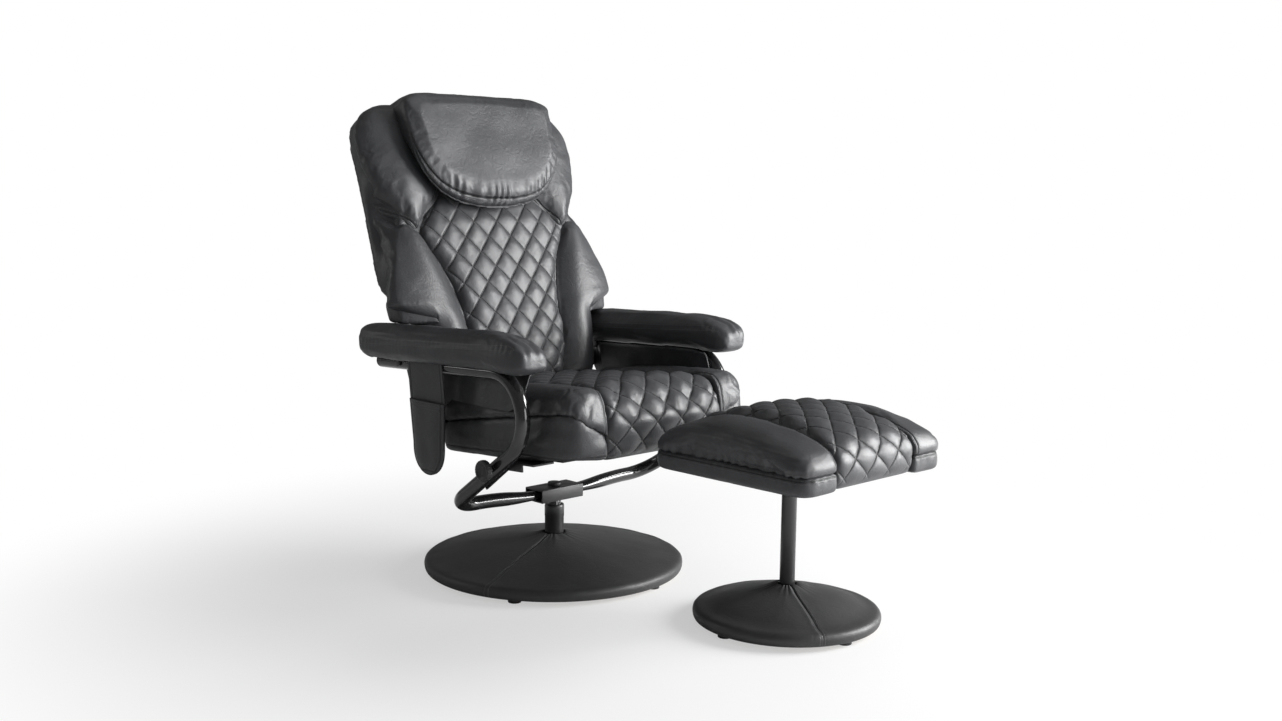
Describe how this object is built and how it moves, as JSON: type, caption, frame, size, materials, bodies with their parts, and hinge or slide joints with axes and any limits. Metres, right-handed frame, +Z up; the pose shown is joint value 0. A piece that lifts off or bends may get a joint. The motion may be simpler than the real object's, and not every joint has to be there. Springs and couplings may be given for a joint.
{
  "type": "swivel recliner chair with ottoman",
  "caption": "Padded recliner with quilted seat and back on a bent tube frame, turning on a round base, with a matching footstool on its own post.",
  "frame": {"origin": "centre of the footprint of chair and ottoman together, at floor level", "axes": "+Z up; +Y towards the rear of the chair, so the sitter faces -Y and the ottoman stands at -Y; +X to the sitter's left"},
  "size_m": [0.6582, 1.1812, 1.042],
  "materials": {
    "leather": "black faux leather, satin, stitched",
    "base_wrap": "black faux leather stretched over the round base",
    "gloss_steel": "gloss black, near mirror",
    "black_steel": "satin black",
    "plastic": "black moulded",
    "glide": "black moulded",
    "board": "bare plywood, hidden"
  },
  "bodies": {
    "base": {"base_cover": "base_wrap", "base_board": "board", "column_sleeve": "black_steel", "glide_1": "glide", "glide_2": "glide", "glide_3": "glide", "glide_4": "glide", "glide_5": "glide"},
    "carriage": {"spindle": "gloss_steel", "yoke_bracket": "gloss_steel", "yoke_bolt": "plastic", "frame_tube": "gloss_steel", "side_pocket": "leather", "slide_bolt_left": "black_steel", "tube_plug_left": "plastic", "tube_plug_right": "plastic", "arm_board_left": "board", "arm_board_right": "board", "arm_pad_left": "leather", "arm_pad_right": "leather", "arm_curtain_left": "leather", "arm_curtain_right": "leather", "pivot_bolt_left": "black_steel", "pivot_bolt_right": "black_steel"},
    "back": {"back_board": "board", "back_rear_cover": "leather", "back_quilt": "leather", "massage_motor_back_lower": "plastic", "massage_motor_back_upper": "plastic", "headrest": "leather", "lower_wing_left": "leather", "lower_wing_right": "leather", "upper_wing_left": "leather", "upper_wing_right": "leather", "back_hinge_plate_left": "black_steel", "back_hinge_plate_right": "black_steel"},
    "seat": {"seat_box": "leather", "seat_quilt": "leather", "seat_board": "board", "massage_motor_seat": "plastic", "control_box": "plastic", "power_inlet": "plastic", "seat_bolster_left": "leather", "seat_bolster_right": "leather", "seat_slide_bracket_left": "black_steel", "seat_slide_bracket_right": "black_steel", "seat_hinge_left": "black_steel", "seat_hinge_right": "black_steel"},
    "knob": {"tension_knob": "plastic"},
    "ottoman": {"ottoman_base_cover": "base_wrap", "ottoman_base_board": "board", "ottoman_post": "black_steel", "ottoman_box": "leather", "ottoman_quilt": "leather", "ottoman_bolster_left": "leather", "ottoman_bolster_right": "leather", "ottoman_glide_1": "glide", "ottoman_glide_2": "glide", "ottoman_glide_3": "glide", "ottoman_glide_4": "glide"}
  },
  "joints": [
    {"name": "swivel", "type": "hinge", "parent": "base", "child": "carriage", "pos_m": [-0.00001, 0.20336, 0.15], "axis": [0, 0, 1], "continuous": true},
    {"name": "recline", "type": "hinge", "parent": "carriage", "child": "back", "pos_m": [-0.00001, 0.36036, 0.46842], "axis": [-1, 0, 0], "range_deg": [0, 24]},
    {"name": "seat_slide", "type": "slide", "parent": "carriage", "child": "seat", "axis": [0, -0.8008, 0.5989], "range_m": [0, 0.057]},
    {"name": "tension_turn", "type": "hinge", "parent": "carriage", "child": "knob", "pos_m": [-0.31001, 0.05436, 0.28828], "axis": [1, 0, 0], "range_deg": [0, 540]},
    {"name": "ottoman_push", "type": "slide", "parent": "base", "child": "ottoman", "axis": [0, -1, 0], "range_m": [0, 0.35]}
  ],
  "couplings": [
    {"joint": "seat_slide", "follows": "recline", "m_per_rad": 0.13495}
  ]
}
